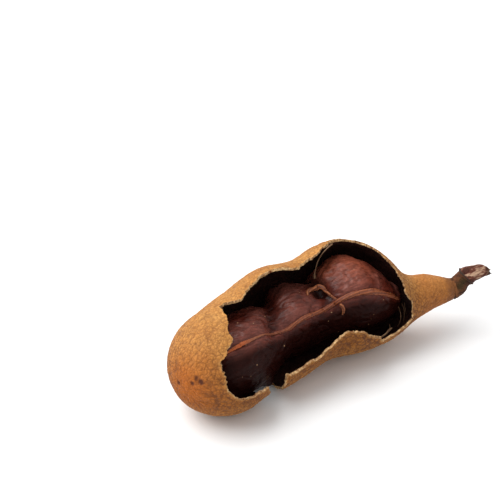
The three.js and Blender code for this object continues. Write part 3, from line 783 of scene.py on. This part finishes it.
def strand(path, radius, outward, sides, ribs, twist, flat=1.0):
    """A tapering cord: path + radius (1 + 0.1 cos(ribs angle + twist length)) (cos angle out + flat
    sin angle across), with fine noise along it, and its first and last rows drawn to a point."""
    step = np.gradient(path, axis=0)
    step /= np.linalg.norm(step, axis=1, keepdims=True)
    across = np.cross(step, outward)
    across /= np.linalg.norm(across, axis=1, keepdims=True)
    out = np.cross(across, step)
    length = np.concatenate([[0], np.cumsum(np.linalg.norm(np.diff(path, axis=0), axis=1))])
    angle = np.linspace(0, 2 * np.pi, sides + 1)[:-1]
    ribbed = 1 + 0.1 * np.cos(ribs * angle[None] + twist * length[:, None])
    reach = radius[:, None] * ribbed
    reach[[0, -1]] = 0
    outward = np.cos(angle)[None, :, None] * out[:, None]
    sideways = flat * np.sin(angle)[None, :, None] * across[:, None]
    points = path[:, None] + reach[..., None] * (outward + sideways)
    points = points.reshape(-1, 3)
    rough = rough_noise(points, 0.5, 161, 2) - 0.5
    body = np.repeat(reach.max(axis=1), sides)
    points = points + (points - np.repeat(path, sides, axis=0)) * (0.35 * rough * (body > 0))[:, None]
    faces, first, _ = drop_empty(grid_faces(len(path), sides), points)
    along = np.repeat(length / length[-1], sides)
    ridge = (ribbed.ravel() - 0.9) / 0.2
    return points[first], faces, {"along": along[first], "ridge": ridge[first]}


def on_pulp(stops, count):
    """Path, radii and outward directions of a fibre that lies on the pulp."""
    at = curve_at(stops, np.linspace(0, len(stops) - 1, count))
    ring, angle = at[:, 0], np.radians(at[:, 1])
    out = facing(pulp_plain, ring, angle)
    return pulp_surface(ring, angle) + out * at[:, 3:4], at[:, 2], out


def fibre_look(name, dark, middle, light, roughness):
    """Stringy plant fibre: painted darker between its ribs as painted shade, darker where pulp sticks
    to it, paler where bare.
    """
    material, shader, tree = new_material(name, roughness, 0.45)
    patches, grain, _ = mottle(tree, 2.2, 0.3, (0, 0))
    ridge = mask_node(tree, "ridge", (0, 2))
    colour = mixed(tree, patches, middle, light, (2, 0))
    # Painted shade: darker in the grooves between the ribs.
    colour = mixed(tree, scaled(tree, ridge, 0, 1, (2, 2), 0.75, 0.0), colour, dark, (3, 0))
    colour = mixed(tree, part_of(tree, grain, 0.45, (3, 2)), colour, dark, (4, 0))
    tree.links.new(colour, shader.inputs["Base Color"])
    bumped(tree, shader, grain, 0.06, (4, 2))
    return material, shader, tree


def main_fibre_look():
    """The main fibre's finish: bright orange-brown where its left end is bare, then pale and dry."""
    material, shader, tree = fibre_look(
        "fibre_main", linear(74, 26, 12), linear(132, 62, 30), linear(176, 98, 52), 0.5)
    plain = shader.inputs["Base Color"].links[0].from_socket
    along = mask_node(tree, "along", (4, 4))
    pale = scaled(tree, along, 0.26, 0.20, (5, 5), 0, 0.45)
    colour = mixed(tree, pale, plain, linear(146, 88, 58), (5, 1))
    bare = scaled(tree, along, 0.16, 0.11, (5, 4), 0, 0.95)
    colour = mixed(tree, bare, colour, linear(180, 84, 26), (6, 0))
    tree.links.new(colour, shader.inputs["Base Color"])
    return material


brown_fibre, _, _ = fibre_look(
    "fibre_side", linear(70, 26, 14), linear(146, 78, 44), linear(186, 112, 66), 0.5)
pale_fibre, _, _ = fibre_look(
    "fibre_pale", linear(70, 42, 26), linear(122, 86, 56), linear(172, 136, 98), 0.7)


def add_fibre(name, arrays, material, replaced):
    """Puts one fibre in place, riding on the pod and standing for its frame node."""
    points, faces, masks = arrays
    made = put_mesh(name, points, faces, [material], masks)
    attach(made, "root")
    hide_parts(replaced)


path, radius, out = on_pulp(MAIN_FIBRE, 420)
main_arrays = strand(path, 0.88 * radius, out, 28, 5, 0.9, 1.05)
add_fibre("fibre_main", main_arrays, main_fibre_look(), "main_fibre")
path, radius, out = on_pulp(ARCH_FIBRE, 120)
add_fibre("fibre_arch", strand(path, radius, out, 20, 3, 1.4), brown_fibre, "arch_fibre")
path, radius, out = on_pulp(BRANCH_FIBRE, 60)
add_fibre("fibre_branch", strand(path, radius, out, 18, 3, 1.0), brown_fibre, "branch_fibre")


def hanging(stops):
    """The cord through free-standing stops, its outward side turned to the front."""
    at = curve_at(stops, np.linspace(0, len(stops) - 1, 120))
    return strand(at[:, :3], at[:, 3], np.tile([0.35, -0.9, 0.25], (120, 1)), 14, 2, 1.5)


def together(cords):
    """Several cords as the arrays of one mesh."""
    starts = np.cumsum([0] + [len(cord[0]) for cord in cords])
    masks = {key: np.concatenate([cord[2][key] for cord in cords]) for key in cords[0][2]}
    faces = np.concatenate([cord[1] + start for cord, start in zip(cords, starts)])
    return np.concatenate([cord[0] for cord in cords]), faces, masks


add_fibre("thread_loose", hanging(LOOSE_THREAD), pale_fibre, "loose_thread")
curl_and_hairs = together([hanging(stops) for stops in [CURLED_FIBRE] + CORNER_HAIRS])
add_fibre("fibre_curled", curl_and_hairs, pale_fibre, "curled_fibre")

# ---------------------------------------------------------------------------------------------
# Stalk: the woody end of the fruit's stem, grown out of the neck. It bends up, has a flat grey scar
# where a second fruit broke off, then a collar, and ends in a torn, fibrous stub.

STALK_RINGS = np.array([  # x, y, z of the centre, radius
    (34.16, -2.70, 10.55, 2.82), (35.3, -2.93, 10.8, 2.55), (36.3, -3.1, 12.2, 2.3),
    (37.2, -3.3, 13.2, 2.2), (38.3, -3.6, 13.8, 2.3), (39.9, -3.9, 14.2, 1.95),
    (42.1, -4.3, 14.4, 1.7), (44.2, -4.7, 13.8, 0.9)])


def stalk_arrays():
    """The stalk's rings carried along its curve, with bark ribs along it, a slanting collar that
    stands up in a spike, one side worn flat for the scar, and a splintered end."""
    rows, columns = 190, 96
    place = np.linspace(0, len(STALK_RINGS) - 1, rows)
    at = curve_at(STALK_RINGS, place)
    centre, radius = at[:, :3], at[:, 3]
    step = np.gradient(centre, axis=0)
    step /= np.linalg.norm(step, axis=1, keepdims=True)
    side = np.cross(step, [0, 0, 1.0])
    side /= np.linalg.norm(side, axis=1, keepdims=True)
    rise = np.cross(side, step)
    angle = np.linspace(0, 2 * np.pi, columns + 1)[:-1]
    spread = np.cos(angle)[None, :, None] * rise[:, None]
    spread = spread + np.sin(angle)[None, :, None] * side[:, None]
    plain = centre[:, None] + radius[:, None, None] * spread
    share = place[:, None] / place[-1]
    beyond = share - (0.535 - 0.075 * np.cos(angle)[None])
    bark = rough_noise(plain * np.array([0.28, 1, 1]), 0.7, 171, 3) - 0.5
    lumps = rough_noise(plain, 2.2, 172, 2) - 0.5
    lip = 0.55 + 0.45 * np.cos(angle - np.radians(20))[None]
    collar = np.exp(-(beyond / 0.018) ** 2) * lip
    front = np.exp(-(turned_from(angle, 70) / 0.75) ** 2)[None]
    scar = front * eased(share, 0.10, 0.24) * (1 - eased(beyond, -0.05, -0.015))
    splinter = np.abs(rough_noise(plain * np.array([0.12, 1, 1]), 0.55, 173, 2) - 0.5) * 2
    ragged = splinter * eased(share, 0.8, 1.0)
    ends = eased(share, 0.0, 0.05)
    reach = radius[:, None] * (1 - 0.16 * scar)
    reach = reach + ends * (0.55 * bark * (1 - 0.6 * scar) + 0.5 * lumps + 0.5 * collar)
    hollow = np.exp(-(turned_from(angle, 40) / 0.5) ** 2)[None]
    reach = reach - 0.30 * eased(beyond, 0.0, 0.05) * hollow
    reach = reach * (1 - 0.55 * ragged * eased(share, 0.9, 1.0))
    points = centre[:, None] + reach[..., None] * spread
    points += step[:, None] * (1.5 * ragged - 0.5 * eased(share, 0.8, 1.0))[..., None]
    tip = np.repeat(centre[-1:] - 0.9 * step[-1:], columns, 0)[None]
    points = np.concatenate([np.repeat(centre[:1], columns, 0)[None], points, tip]).reshape(-1, 3)

    def wide(values):
        """One row more at both ends, for the centre points."""
        return np.concatenate([values[:1], values, values[-1:]]).ravel()

    root = share + 0.12 * (bark - 0.5 * np.cos(angle)[None])
    masks = {"scar": wide(scar), "collar": wide(np.exp(-(beyond / 0.022) ** 2) * lip),
             # Painted shade: groove is 1 where the bark relief sinks into furrows.
             "groove": wide(1 - eased(bark, -0.22, 0.04)),
             "ridge": wide(eased(bark, 0.0, 0.16)),
             "bare": wide(eased(beyond, 0.0, 0.04)),
             # Painted shade: under is 1 on the stalk's underside, away from the light.
             "under": wide(np.broadcast_to(eased(-np.cos(angle), -0.2, 0.6)[None], bark.shape)),
             "tip": wide(np.broadcast_to(eased(share, 0.86, 0.97), bark.shape)),
             "root_end": wide(1 - eased(root, 0.06, 0.30))}
    faces, first, _ = drop_empty(grid_faces(rows + 2, columns), points)
    return points[first], faces, picked(masks, first)


def stalk_look():
    """Brown bark, tan where it leaves the neck and dark olive on the scar; past the grey collar the
    torn stub is reddish with pale splintered ridges and darker at the tip. Painted shade darkens the
    bark's grooves and the whole stalk's underside."""
    material, shader, tree = new_material("stalk_bark", 0.85, 0.25)
    patches, grain, _ = mottle(tree, 1.3, 0.26, (0, 0))
    groove = mask_node(tree, "groove", (0, 2))
    bark = mixed(tree, patches, linear(84, 46, 26), linear(136, 82, 48), (2, 0))
    stub = mixed(tree, patches, linear(84, 38, 28), linear(124, 72, 54), (2, 3))
    stub = mixed(tree, part_of(tree, mask_node(tree, "ridge", (2, 4)), 0.85, (2, 5)), stub,
                 linear(206, 170, 140), (3, 3))
    colour = mixed(tree, mask_node(tree, "bare", (2, 2)), bark, stub, (4, 0))
    colour = mixed(tree, mask_node(tree, "root_end", (3, 2)), colour, linear(126, 78, 42), (5, 0))
    olive = mixed(tree, grain, linear(36, 26, 12), linear(82, 62, 32), (4, 3))
    colour = mixed(tree, mask_node(tree, "scar", (4, 2)), colour, olive, (6, 0))
    # Painted shade: darker on the underside.
    under = part_of(tree, mask_node(tree, "under", (5, 2)), 0.6, (5, 3))
    colour = mixed(tree, under, colour, linear(56, 28, 22), (7, 0))
    # Painted shade: darker in the bark's grooves.
    dark = part_of(tree, groove, 0.7, (6, 3))
    colour = mixed(tree, dark, colour, linear(44, 24, 16), (8, 0))
    tip = part_of(tree, mask_node(tree, "tip", (6, 2)), 0.7, (7, 3))
    colour = mixed(tree, tip, colour, linear(44, 28, 16), (9, 0))
    ridge = scaled(tree, mask_node(tree, "collar", (7, 2)), 0.2, 0.8, (8, 3), 0, 0.85)
    colour = mixed(tree, ridge, colour, linear(50, 44, 38), (10, 0))
    tree.links.new(colour, shader.inputs["Base Color"])
    bumped(tree, shader, grain, 0.12, (10, 3))
    return material


stalk_points, stalk_faces, stalk_masks = stalk_arrays()
stalk = put_mesh("pod_stalk", stalk_points, stalk_faces, [stalk_look()], stalk_masks)
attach(stalk, "root")
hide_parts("stalk")

# ---------------------------------------------------------------------------------------------
# Studio: a plain white table under soft light from above, behind and to the left, and the camera.

bpy.context.scene.view_settings.view_transform = "Standard"
floor_mesh = bpy.data.meshes.new("floor")
half = 1.5
corners = [(-half, -half, 0), (half, -half, 0), (half, half, 0), (-half, half, 0)]
floor_mesh.from_pydata(corners, [], [(0, 1, 2, 3)])
floor_material, floor_shader, _ = new_material("floor_white", 0.9, 0.1)
floor_shader.inputs["Base Color"].default_value = (0.88, 0.88, 0.88, 1)
floor_mesh.materials.append(floor_material)
floor = bpy.data.objects.new("floor", floor_mesh)
bpy.context.scene.collection.objects.link(floor)

world = bpy.data.worlds.new("studio")
bpy.context.scene.world = world
world.use_nodes = True
background = world.node_tree.nodes["Background"].inputs
background["Color"].default_value = (1.0, 1.0, 1.0, 1)
background["Strength"].default_value = 0.72


def soft_light(name, place, aim, size, power):
    """A square area light at place, turned so that it shines at aim."""
    data = bpy.data.lights.new(name, "AREA")
    data.size, data.energy = size, power
    lamp = bpy.data.objects.new(name, data)
    lamp.location = place
    lamp.rotation_euler = (Vector(place) - Vector(aim)).to_track_quat("Z", "Y").to_euler()
    bpy.context.scene.collection.objects.link(lamp)


soft_light("key", (-0.35, 0.30, 0.60), (0, 0, 0.01), 0.9, 8.6)

camera_data = bpy.data.cameras.new("camera")
camera_data.lens, camera_data.sensor_width, camera_data.clip_start = 100, 36, 0.01
camera = bpy.data.objects.new("camera", camera_data)
bpy.context.scene.collection.objects.link(camera)
azimuth, elevation, distance = np.radians(-28), np.radians(33), 0.323
target = np.array([-0.0193, 0.0048, 0.0342])
level = np.array([np.sin(azimuth), -np.cos(azimuth), 0.0])
back = level * np.cos(elevation) + np.array([0.0, 0.0, np.sin(elevation)])
camera.location = (target + back * distance).tolist()
camera.rotation_euler = (np.pi / 2 - elevation, 0, azimuth)
bpy.context.scene.camera = camera
